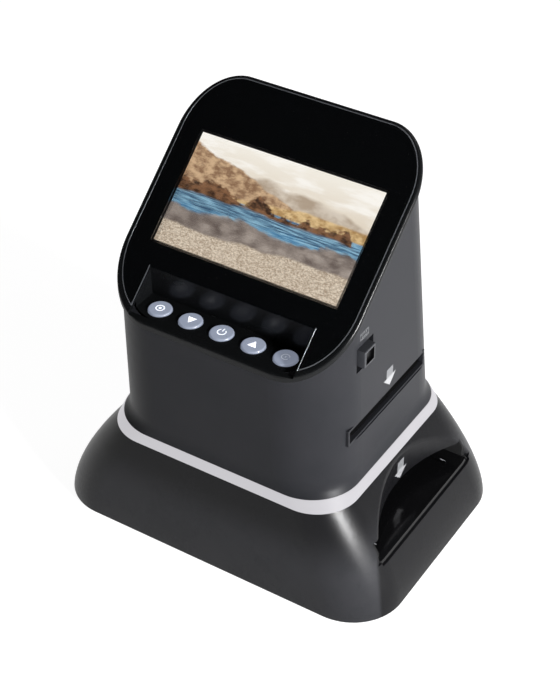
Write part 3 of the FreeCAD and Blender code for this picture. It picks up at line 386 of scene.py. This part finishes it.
def landscape_on_display(name):
    """The lit picture: bright sky, tan hills, water, dark trees, rocks and speckled sand."""
    material, sheet, shader, place = new_material(name)
    flat = sheet.add("ShaderNodeMapping", {"vector_type": "TEXTURE"}, Vector=place,
                     Location=tuple(SCREEN_CENTRE.tolist()), Rotation=(TILT, 0.0, 0.0),
                     Scale=(SCREEN_WIDTH, SCREEN_HEIGHT, SCREEN_HEIGHT))
    axes = sheet.add("ShaderNodeSeparateXYZ", Vector=flat.outputs[0])
    across = axes.outputs["X"]
    up = axes.outputs["Y"]

    def ridge(height, slope, swing, scale, lump, seed, softness=0.02):
        return sheet.group(RIDGE, Across=across, Up=up, Height=height, Slope=slope, Swing=swing,
                           Scale=scale, Lump=lump, Seed=seed, Softness=softness).outputs["Below"]

    def grain(scale, detail, stretch=(1.0, 1.0, 1.0), low=0.36, high=0.64):
        drawn = sheet.add("ShaderNodeMapping", Vector=flat.outputs[0], Scale=stretch)
        return sheet.remap(sheet.noise(drawn.outputs[0], scale, detail, 0.6), low, high, 0.0, 1.0,
                           True)

    haze = sheet.remap(up, 0.1, 0.5, 0.0, 1.0)
    sky = sheet.blend(haze, srgb(222, 208, 188), srgb(246, 241, 230))
    cloud = sheet.math("MULTIPLY", grain(3.0, 5.0, (1.0, 2.6, 1.0), 0.44, 0.62), 0.8)
    picture = sheet.blend(cloud, sky, srgb(255, 252, 246))
    leaf = grain(22.0, 5.0)
    far_hill = sheet.blend(grain(7.0, 4.0), srgb(176, 158, 138), srgb(214, 202, 186))
    picture = sheet.blend(ridge(0.26, -0.20, 0.30, 2.3, 0.03, 4.0, 0.03), picture, far_hill)
    hill = sheet.blend(leaf, srgb(138, 106, 80), srgb(206, 174, 138))
    picture = sheet.blend(ridge(0.17, -0.52, 0.20, 1.7, 0.08, 9.0), picture, hill)
    meadow = sheet.blend(leaf, srgb(168, 132, 84), srgb(222, 192, 142))
    picture = sheet.blend(ridge(0.09, 0.08, 0.10, 2.4, 0.03, 15.0), picture, meadow)
    ripple = grain(2.6, 4.0, (3.0, 30.0, 1.0))
    water = sheet.blend(ripple, srgb(38, 104, 150), srgb(150, 194, 216))
    picture = sheet.blend(ridge(0.03, 0.0, 0.03, 2.0, 0.0, 20.0, 0.012), picture, water)
    wood = sheet.blend(leaf, srgb(52, 36, 28), srgb(136, 98, 70))
    stand = sheet.math("MULTIPLY", ridge(0.06, -0.04, 0.46, 4.6, 0.12, 31.0),
                       sheet.math("SUBTRACT", 1.0, ridge(-0.01, 0.0, 0.06, 5.0, 0.02, 43.0)))
    picture = sheet.blend(stand, picture, wood)
    mirrored_wood = sheet.math("MULTIPLY", sheet.math("SUBTRACT", 1.0, ripple), 0.6)
    under = sheet.math("MULTIPLY", ridge(-0.005, 0.0, 0.06, 5.0, 0.02, 43.0),
                       sheet.math("SUBTRACT", 1.0, ridge(-0.10, 0.05, 0.12, 5.2, 0.02, 47.0)))
    picture = sheet.blend(sheet.math("MULTIPLY", under, mirrored_wood), picture,
                          srgb(58, 52, 52))
    boulder = sheet.remap(sheet.cells(flat.outputs[0], 9.0), 0.05, 0.65, 0.0, 1.0)
    stone = sheet.blend(sheet.math("ADD", sheet.math("MULTIPLY", grain(12.0, 6.0), 0.5),
                                   sheet.math("MULTIPLY", boulder, 0.5)), srgb(186, 174, 164),
                        srgb(98, 86, 80))
    picture = sheet.blend(ridge(-0.13, 0.04, 0.16, 3.4, 0.08, 52.0), picture, stone)
    sand = sheet.blend(grain(105.0, 2.0), srgb(166, 146, 124), srgb(236, 222, 202))
    picture = sheet.blend(ridge(-0.29, 0.05, 0.10, 2.6, 0.02, 64.0), picture, sand)
    edge_across = sheet.math("LESS_THAN", sheet.math("ABSOLUTE", across), 0.5)
    edge_up = sheet.math("LESS_THAN", sheet.math("ABSOLUTE", up), 0.5)
    lit = sheet.math("MULTIPLY", edge_across, edge_up)
    sheet.feed(shader.inputs["Emission Color"],
               sheet.blend(lit, (0.0, 0.0, 0.0, 1.0), picture))
    shader.inputs["Emission Strength"].default_value = 1.0
    shader.inputs["Base Color"].default_value = (0.004, 0.004, 0.005, 1.0)
    shader.inputs["Roughness"].default_value = 0.35
    return material


def ink_and_painted_light(name, light, faded, low_z, high_z, glow=0.0):
    """White marking ink, greyer towards the top of the mark, a little uneven; glow sets a painted
    glow of the mark's own colour. It also paints the highlights on the guide ribs.
    """
    material, sheet, shader, place = new_material(name)
    height = sheet.add("ShaderNodeSeparateXYZ", Vector=place).outputs["Z"]
    fade = sheet.remap(height, low_z, high_z, 0.0, 1.0, True)
    patch = sheet.noise(place, 1800.0, 2.0)
    ink = sheet.blend(fade, light, faded)
    tone = sheet.blend(sheet.remap(patch, 0.3, 0.7, 0.0, 0.25), ink, faded)
    sheet.feed(shader.inputs["Base Color"], tone)
    sheet.feed(shader.inputs["Emission Color"], tone)
    shader.inputs["Emission Strength"].default_value = glow
    shader.inputs["Roughness"].default_value = 0.5
    bump(sheet, shader, patch, 0.00001)
    return material


finishes = {
    "housing_grey": moulded("moulded_charcoal", srgb(28, 29, 32), srgb(36, 36, 39),
                            0.34, 0.16, 2600.0, 0.00003, level=0.10),
    "ring_white": ring_with_painted_glow("milk_white_ring"),
    "panel_black": gloss("gloss_black_panel", srgb(5, 6, 7), srgb(60, 58, 56), 0.05, 0.16),
    "mouth_black": mouth_lining("gloss_black_mouth"),
    "inner_black": moulded("matt_black_moulding", srgb(14, 14, 15), srgb(22, 22, 23),
                           0.55, 0.2, 1900.0, 0.00003, level=0.3),
    "foot_rubber": moulded("soft_rubber", srgb(24, 24, 25), srgb(34, 33, 33), 0.75, 0.2,
                           1400.0, 0.00006, level=0.3),
    "screw_steel": brushed("zinc_plated_screw", srgb(150, 150, 152), srgb(198, 198, 200), 0.34,
                           (900.0, 900.0, 60.0)),
    "sheet_steel": brushed("nickel_plated_sheet", srgb(168, 168, 170), srgb(208, 208, 210),
                           0.28, (120.0, 2600.0, 2600.0)),
    "pan_white": moulded("reflector_white", srgb(222, 222, 220), srgb(236, 236, 234), 0.5, 0.2,
                         900.0, 0.00002),
    "diffuser_white": moulded("opal_diffuser", srgb(236, 236, 238), srgb(246, 246, 247), 0.45,
                              0.1, 1200.0, 0.00001),
    "clear_acrylic": clear("clear_acrylic", (0.95, 0.97, 0.98, 1.0), 1.49, 0.06),
    "board_green": circuit_board("solder_resist_green"),
    "lens_glass": clear("coated_lens_glass", (0.86, 0.90, 0.98, 1.0), 1.52, 0.02),
    "screen_glass": clear("clear_window", (0.97, 0.97, 0.97, 1.0), 1.45, 0.02),
    "display": landscape_on_display("lit_landscape"),
    "switch_black": moulded("switch_black", srgb(18, 18, 19), srgb(28, 28, 29), 0.4, 0.2,
                            1500.0, 0.00002),
    "key_silver": pearl_with_painted_glow("silver_key"),
}

own_finishes = {
    "base_skirt": base_with_painted_shade("moulded_charcoal_base_painted_shade", srgb(34, 35, 38), srgb(42, 42, 45), 0.28,
                          0.10, 2600.0, 0.00003, 0.21),
    # painted shade: the surround sunk round the button is coloured near-black for the shade in
    # that recess
    "format_surround": moulded("pit_painted_shade", srgb(4, 4, 5), srgb(8, 8, 9), 0.6, 0.1, 1900.0,
                               0.00002, level=0.1),
    "bezel": gloss("satin_black_bezel", srgb(15, 16, 17), srgb(44, 43, 42), 0.24, 0.34,
                   level=0.22),
    "format_button": dished_button("button_grey"),
}

for name, node in nodes.items():
    made_of = node.data.materials[0].name.split(".")[0]
    node.data.materials[0] = own_finishes.get(name, finishes[made_of])


# Building blocks for pieces

def grid_faces(rows, columns):
    """Quads of a grid of rows by columns points."""
    row, column = np.meshgrid(np.arange(rows - 1), np.arange(columns - 1), indexing="ij")
    first = row * columns + column
    quads = np.stack([first, first + columns, first + columns + 1, first + 1], axis=-1)
    return quads.reshape(-1, 4)


def piece(name, points, faces, material, body, smooth=True):
    """A mesh piece at the origin, with its finish, riding on a body."""
    mesh = bpy.data.meshes.new(name)
    mesh.from_pydata(points.reshape(-1, 3).tolist(), [], [tuple(f) for f in faces.tolist()])
    mesh.polygons.foreach_set("use_smooth", [smooth] * len(mesh.polygons))
    mesh.materials.append(material)
    made = bpy.data.objects.new(name, mesh)
    scene.collection.objects.link(made)
    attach(made, body)
    return made


def joined(*parts):
    """Several (points, faces) put in one mesh."""
    points = np.concatenate([p.reshape(-1, 3) for p, _ in parts])
    counts = np.cumsum([0] + [len(p.reshape(-1, 3)) for p, _ in parts])
    faces = np.concatenate([f + counts[i] for i, (_, f) in enumerate(parts)])
    return points, faces


# Bevels of the gloss sheet, coloured light grey as a painted highlight

BEVEL_WIDTH = 0.42 * MM
BEVEL_RISE = 0.20 * MM
BEVEL_OVERLAP = 0.10 * MM


def face_height(y):
    """Height of the panel's face above a place y (metres)."""
    return SCREEN_CENTRE[2] + (y - SCREEN_CENTRE[1]) * math.tan(TILT)


def bevel(path, outward):
    """Band of four rows along a path: a foot just under the face, an inner edge and a crest a
    hair above it, and an outer row that dips under it just outside the path."""
    foot = path - outward * BEVEL_WIDTH - PANEL_NORMAL * BEVEL_OVERLAP
    inner = path - outward * BEVEL_WIDTH + PANEL_NORMAL * BEVEL_RISE * 0.55
    crest = path - outward * BEVEL_WIDTH * 0.35 + PANEL_NORMAL * BEVEL_RISE * 0.62
    outer = path + outward * BEVEL_OVERLAP - PANEL_NORMAL * BEVEL_RISE * 0.25
    band = np.stack([foot, inner, crest, outer], axis=1)
    return band, grid_faces(len(path), 4)


def sheet_outline():
    """Plan outline of the gloss sheet from the notch's right corner round to its left one:
    straight sides joined by quarter circles, lifted onto the sloping face."""
    half, front, back = 58.85 * MM, -56.05 * MM, 34.35 * MM
    low, high = 25.65 * MM, 22.15 * MM
    start = math.asin((NOTCH_HALF_WIDTH * MM - (half - low)) / low)
    turn = np.linspace(start, math.pi / 2, 40)
    right_low = np.stack([half - low + low * np.sin(turn), front + low - low * np.cos(turn)], 1)
    turn = np.linspace(0.0, math.pi / 2, 40)
    right_high = np.stack([half - high + high * np.cos(turn), back - high + high * np.sin(turn)],
                          1)
    side = np.stack([np.full(60, half), np.linspace(front + low, back - high, 60)], 1)
    top = np.stack([np.linspace(half - high, 0.0, 40), np.full(40, back)], 1)
    plan = np.concatenate([right_low, side[1:-1], right_high, top[1:]])
    plan = np.concatenate([plan, (plan * [-1, 1])[::-1][1:]])
    path = np.stack([plan[:, 0], plan[:, 1], face_height(plan[:, 1])], 1)
    along = np.gradient(path, axis=0)
    outward = np.cross(along, PANEL_NORMAL)
    outward /= np.linalg.norm(outward, axis=1)[:, None]
    return path, outward


# painted highlight: the bevels are light grey, unlike the black sheet, so that they read as a
# gleaming edge
painted_highlight_edge = gloss("sheet_edge_painted_highlight", srgb(84, 86, 90), srgb(90, 90, 90), 0.20, 0.32)
painted_highlight_edge.node_tree.nodes["Principled BSDF"].inputs["Metallic"].default_value = 0.3
path, outward = sheet_outline()
band, faces = bevel(path, outward)
piece("sheet_bevel", band, faces, painted_highlight_edge, "housing")


def notch_bevels():
    """Bevels along the two straight sides of the notch, in the panel's face."""
    parts = []
    for side in (1.0, -1.0):
        y = np.linspace(NOTCH_FRONT, NOTCH_BACK, 24) * MM
        line = np.stack([np.full(24, side * NOTCH_HALF_WIDTH * MM), y, face_height(y)], 1)
        inward = np.tile([-side, 0.0, 0.0], (24, 1))
        points, quads = bevel(line, inward)
        parts.append((points, quads if side < 0 else quads[:, ::-1]))
    return joined(*parts)


points, faces = notch_bevels()
piece("notch_bevels", points, faces, painted_highlight_edge, "housing")


# Symbols on the keys

def arc_band(radius, width, start, end, count=64):
    """Flat band between two radii, from one angle to another."""
    turn = np.linspace(start, end, count)
    ray = np.stack([np.cos(turn), np.sin(turn)], 1)
    return np.stack([ray * (radius - width / 2), ray * (radius + width / 2)], 1)


def bar(x0, x1, y0, y1):
    """Flat rectangle as a two by two grid."""
    return np.array([[[x0, y0], [x0, y1]], [[x1, y0], [x1, y1]]], float)


def triangle(size, direction):
    """Triangle with its tip forwards or back: rows of a wedge that narrows to a blunt tip."""
    rise = np.linspace(-0.5, 0.6, 12) * size
    half_width = np.linspace(0.62, 0.03, 12) * size
    left = np.stack([-half_width, rise * direction], 1)
    right = np.stack([half_width, rise * direction], 1)
    return np.stack([left, right], 1)


def flat_mark(name, bands, origin, across, upright, material, body):
    """Flat bands laid on a plane given by an origin and two directions, facing outwards."""
    origin, across, upright = (np.array(v, float) for v in (origin, across, upright))
    facing = np.cross(across, upright)
    parts = []
    for band in bands:
        flat = origin + (band[..., :1] * across + band[..., 1:] * upright)
        faces = grid_faces(*flat.shape[:2])
        corner = flat.reshape(-1, 3)[faces[0]]
        turned = np.cross(corner[1] - corner[0], corner[2] - corner[1]) @ facing
        parts.append((flat * MM, faces if turned > 0 else faces[:, ::-1]))
    points, faces = joined(*parts)
    return piece(name, points, faces, material, body, smooth=False)


# painted glow: the key symbols emit light of their own, standing in for light on them
symbol_ink_painted_glow = ink_and_painted_light("key_symbol_ink", srgb(246, 248, 255), srgb(232, 238, 252), 0.0, 1.0,
                         glow=0.80)
faint_ink_painted_glow = ink_and_painted_light("key_symbol_faint", srgb(190, 195, 206), srgb(176, 182, 194), 0.0, 1.0,
                        glow=0.5)
round_turn = 2 * math.pi
gap = math.radians(38.0)
symbols = [
    [arc_band(1.9, 0.55, 0.0, round_turn), arc_band(0.35, 0.7, 0.0, round_turn, 24)],
    [triangle(3.6, -1.0)],
    [arc_band(1.9, 0.5, math.pi / 2 + gap, math.pi * 2.5 - gap), bar(-0.26, 0.26, 0.5, 2.6)],
    [triangle(3.6, 1.0)],
    [arc_band(1.8, 0.45, 0.3, round_turn - 0.5), bar(-0.25, 0.25, -0.6, 0.6)],
]
for index, bands in enumerate(symbols):
    ink = faint_ink_painted_glow if index == len(symbols) - 1 else symbol_ink_painted_glow
    flat_mark("key_%d_symbol" % (index + 1), bands, (KEY_X[index], KEY_Y, KEY_TOP + INK_ON_KEY),
              (1, 0, 0), (0, 1, 0), ink, "key_%d" % (index + 1))


# Arrows and the frame mark on the right wall

def down_arrow(half_head, head_height, half_shaft, shaft_height):
    """Block arrow that points down, its tip at the origin: a wedge and a bar above it."""
    rise = np.linspace(0.0, head_height, 12)
    wedge = np.stack([np.stack([-rise / head_height * half_head, rise], 1),
                      np.stack([rise / head_height * half_head, rise], 1)], 1)
    rise = np.linspace(head_height, head_height + shaft_height, 12)
    shaft = np.stack([np.stack([np.full(12, -half_shaft), rise], 1),
                      np.stack([np.full(12, half_shaft), rise], 1)], 1)
    return [wedge, shaft]


def on_wall(y, z):
    """A place for ink on the leaning right wall of the tower, a hair outside it."""
    return 61.5 - (z - 56.4) * WALL_LEAN + INK_ON_WALL, y, z


WALL_ACROSS, WALL_UP = (0, 1, 0), (-WALL_LEAN, 0, 1)

upper_ink = ink_and_painted_light("upper_arrow_ink", srgb(134, 134, 135), srgb(92, 93, 95), 0.0965,
                        0.0985)
lower_ink = ink_and_painted_light("lower_arrow_ink", srgb(124, 124, 126), srgb(92, 93, 95), 0.0392,
                        0.0412)
flat_mark("film_arrow_upper", down_arrow(5.6, 5.0, 2.9, 4.8), on_wall(-1.8, 92.6),
          WALL_ACROSS, WALL_UP, upper_ink, "housing")


def on_scoop(bands, centre_y, low_z):
    """Bands laid round the upright wall of the scoop, a hair in front of it."""
    parts = []
    for band in bands:
        share = np.linspace(0.0, 1.0, 10)[None, :, None]
        wide = band[:, :1] * (1 - share) + band[:, 1:] * share
        y = centre_y + wide[..., 0]
        z = low_z + wide[..., 1]
        x = SCOOP_AXIS_X - np.sqrt(SCOOP_RADIUS ** 2 - (y - SCOOP_Y) ** 2) + INK_ON_WALL
        points = np.stack([x, y, z], -1)
        faces = grid_faces(*points.shape[:2])
        corner = points.reshape(-1, 3)[faces[len(faces) // 2]]
        turned = np.cross(corner[1] - corner[0], corner[2] - corner[1])[0]
        parts.append((points * MM, faces if turned > 0 else faces[:, ::-1]))
    return joined(*parts)


points, faces = on_scoop(down_arrow(5.6, 5.2, 2.9, 6.0), 3.4, 34.2)
piece("film_arrow_lower", points, faces, lower_ink, "housing")


# painted highlight: light bars on the ends of the film guide ribs stand in for the glints on them
rib_highlight_paint = ink_and_painted_light("rib_tick_ink", srgb(150, 152, 156), srgb(110, 112, 116), 0.0, 1.0)
for side_name, tick_y in (("near", -34.0), ("far", 34.0)):
    flat_mark("rib_tick_" + side_name, [bar(-1.5, 1.5, -0.28, 0.28)], (73.4, tick_y, 25.83),
              (1, 0, 0), (0, 1, 0), rib_highlight_paint, "housing")


def film_frame():
    """Outline of one film frame with a row of perforations above and below it."""
    bands = [bar(-3.6, 3.6, -1.75, -1.5), bar(-3.6, 3.6, 1.5, 1.75),
             bar(-3.6, -3.35, -1.5, 1.5), bar(3.35, 3.6, -1.5, 1.5),
             bar(-2.0, 2.0, -0.75, -0.55), bar(-2.0, 2.0, 0.55, 0.75),
             bar(-2.0, -1.8, -0.55, 0.55), bar(1.8, 2.0, -0.55, 0.55)]
    for x in np.linspace(-2.9, 2.9, 5):
        bands += [bar(x - 0.32, x + 0.32, -1.3, -0.95), bar(x - 0.32, x + 0.32, 0.95, 1.3)]
    return bands


flat_mark("format_mark", film_frame(), on_wall(-25.4, 136.4), WALL_ACROSS, WALL_UP, upper_ink,
          "housing")


# Floor, world, lights and camera

def make_floor():
    """Pale floor. What the camera sees glows and keeps the shadow; what lights the object is a
    dull floor with a bright strip to the right."""
    size = 4.0
    mesh = bpy.data.meshes.new("floor")
    mesh.from_pydata([(-size, -size, 0), (size, -size, 0), (size, size, 0), (-size, size, 0)], [],
                     [(0, 1, 2, 3)])
    material = bpy.data.materials.new("pale_floor")
    material.use_nodes = True
    tree = material.node_tree
    tree.nodes.remove(tree.nodes["Principled BSDF"])
    sheet = Sheet(tree)
    rays = sheet.add("ShaderNodeLightPath").outputs
    seen = sheet.math("MAXIMUM", rays["Is Camera Ray"],
                      sheet.math("MAXIMUM", rays["Is Glossy Ray"], rays["Is Transmission Ray"]))
    plain = sheet.add("ShaderNodeBsdfDiffuse", Color=(0.62, 0.62, 0.63, 1.0))
    along = sheet.add("ShaderNodeSeparateXYZ",
                      Vector=sheet.add("ShaderNodeTexCoord").outputs["Object"]).outputs["X"]
    lit_side = sheet.add("ShaderNodeEmission", Color=(0.97, 0.98, 1.0, 1.0),
                         Strength=sheet.remap(along, 0.06, 0.16, 0.02, 4.4, True))
    lifted = sheet.add("ShaderNodeAddShader")
    tree.links.new(plain.outputs[0], lifted.inputs[0])
    tree.links.new(lit_side.outputs[0], lifted.inputs[1])
    shadowed = sheet.add("ShaderNodeBsdfDiffuse", Color=(0.30, 0.30, 0.30, 1.0))
    glow = sheet.add("ShaderNodeEmission", Color=(1.0, 1.0, 1.0, 1.0),
                     Strength=sheet.remap(rays["Is Camera Ray"], 0.0, 1.0, 0.66, 0.95))
    bright = sheet.add("ShaderNodeAddShader")
    tree.links.new(shadowed.outputs[0], bright.inputs[0])
    tree.links.new(glow.outputs[0], bright.inputs[1])
    mix = sheet.add("ShaderNodeMixShader", Fac=seen)
    tree.links.new(lifted.outputs[0], mix.inputs[1])
    tree.links.new(bright.outputs[0], mix.inputs[2])
    tree.links.new(mix.outputs[0], tree.nodes["Material Output"].inputs["Surface"])
    mesh.materials.append(material)
    floor = bpy.data.objects.new("floor", mesh)
    scene.collection.objects.link(floor)


def make_world():
    """White studio all round, dim overhead and dimmer to the left; a faint fill for diffuse
    light."""
    world = bpy.data.worlds.new("studio")
    world.use_nodes = True
    scene.world = world
    sheet = Sheet(world.node_tree)
    back = world.node_tree.nodes["Background"]
    rays = sheet.add("ShaderNodeLightPath").outputs
    axes = sheet.add("ShaderNodeSeparateXYZ",
                     Vector=sheet.add("ShaderNodeTexCoord").outputs["Generated"]).outputs
    side = sheet.remap(axes["X"], -0.8, 0.3, 0.30, 1.0, True)
    wall = sheet.math("MULTIPLY", sheet.remap(axes["Z"], 0.10, 0.55, 0.86, 0.03, True), side)
    fill = sheet.math("MULTIPLY", sheet.remap(axes["Z"], 0.0, 0.5, 0.20, 0.06, True), side)
    mirrored = sheet.math("MAXIMUM", rays["Is Glossy Ray"], rays["Is Transmission Ray"])
    strength = sheet.math("ADD", sheet.math("MULTIPLY", mirrored, wall),
                          sheet.math("MULTIPLY", sheet.math("SUBTRACT", 1.0, mirrored),
                                     sheet.remap(rays["Is Camera Ray"], 0.0, 1.0, fill, 1.0)))
    back.inputs["Color"].default_value = (1.0, 1.0, 1.0, 1.0)
    sheet.feed(back.inputs["Strength"], strength)


def area_light(name, direction, distance, width, height, power):
    """Rectangular lamp in a direction from the object, facing its middle (metres, watts)."""
    data = bpy.data.lights.new(name, "AREA")
    data.shape = "RECTANGLE"
    data.size = width
    data.size_y = height
    data.energy = power
    lamp = bpy.data.objects.new(name, data)
    away = Vector(direction).normalized()
    middle = Vector((0.0, 0.0, 0.10))
    lamp.matrix_world = (Matrix.Translation(middle + away * distance)
                         @ away.to_track_quat("Z", "Y").to_matrix().to_4x4())
    scene.collection.objects.link(lamp)


make_floor()
make_world()
area_light("key_light", (0.95, -0.10, 0.14), distance=1.2, width=0.5, height=0.3, power=3.2)
area_light("corner_light", (0.89, -0.23, 0.37), distance=1.3, width=0.24, height=0.13,
           power=28.0)
area_light("front_light", (-0.25, -0.95, 0.20), distance=1.3, width=0.5, height=0.4, power=0.3)
area_light("top_light", (0.1, 0.35, 0.93), distance=1.3, width=0.5, height=0.5, power=1.5)


def make_camera():
    """Camera at the photograph's viewing angle: turned and raised in radians, shifted sideways
    and upwards and set back in metres, with a lens of that many picture heights."""
    turn, rise = 0.562, 0.666
    aside, above, back = 0.000833, 0.067513, 0.855148
    lens_in_heights = 1703.866 / 700.0
    away = Vector((math.sin(turn) * math.cos(rise), -math.cos(turn) * math.cos(rise),
                   math.sin(rise)))
    right = (-away).cross(Vector((0.0, 0.0, 1.0))).normalized()
    upward = right.cross(-away)
    place = right * aside + upward * above + away * back
    data = bpy.data.cameras.new("camera")
    data.sensor_width = 36.0
    data.lens = lens_in_heights * data.sensor_width
    camera = bpy.data.objects.new("camera", data)
    turned = Matrix((right, upward, away)).transposed().to_4x4()
    camera.matrix_world = Matrix.Translation(place) @ turned
    scene.collection.objects.link(camera)
    scene.camera = camera


make_camera()
scene.view_settings.view_transform = "Standard"
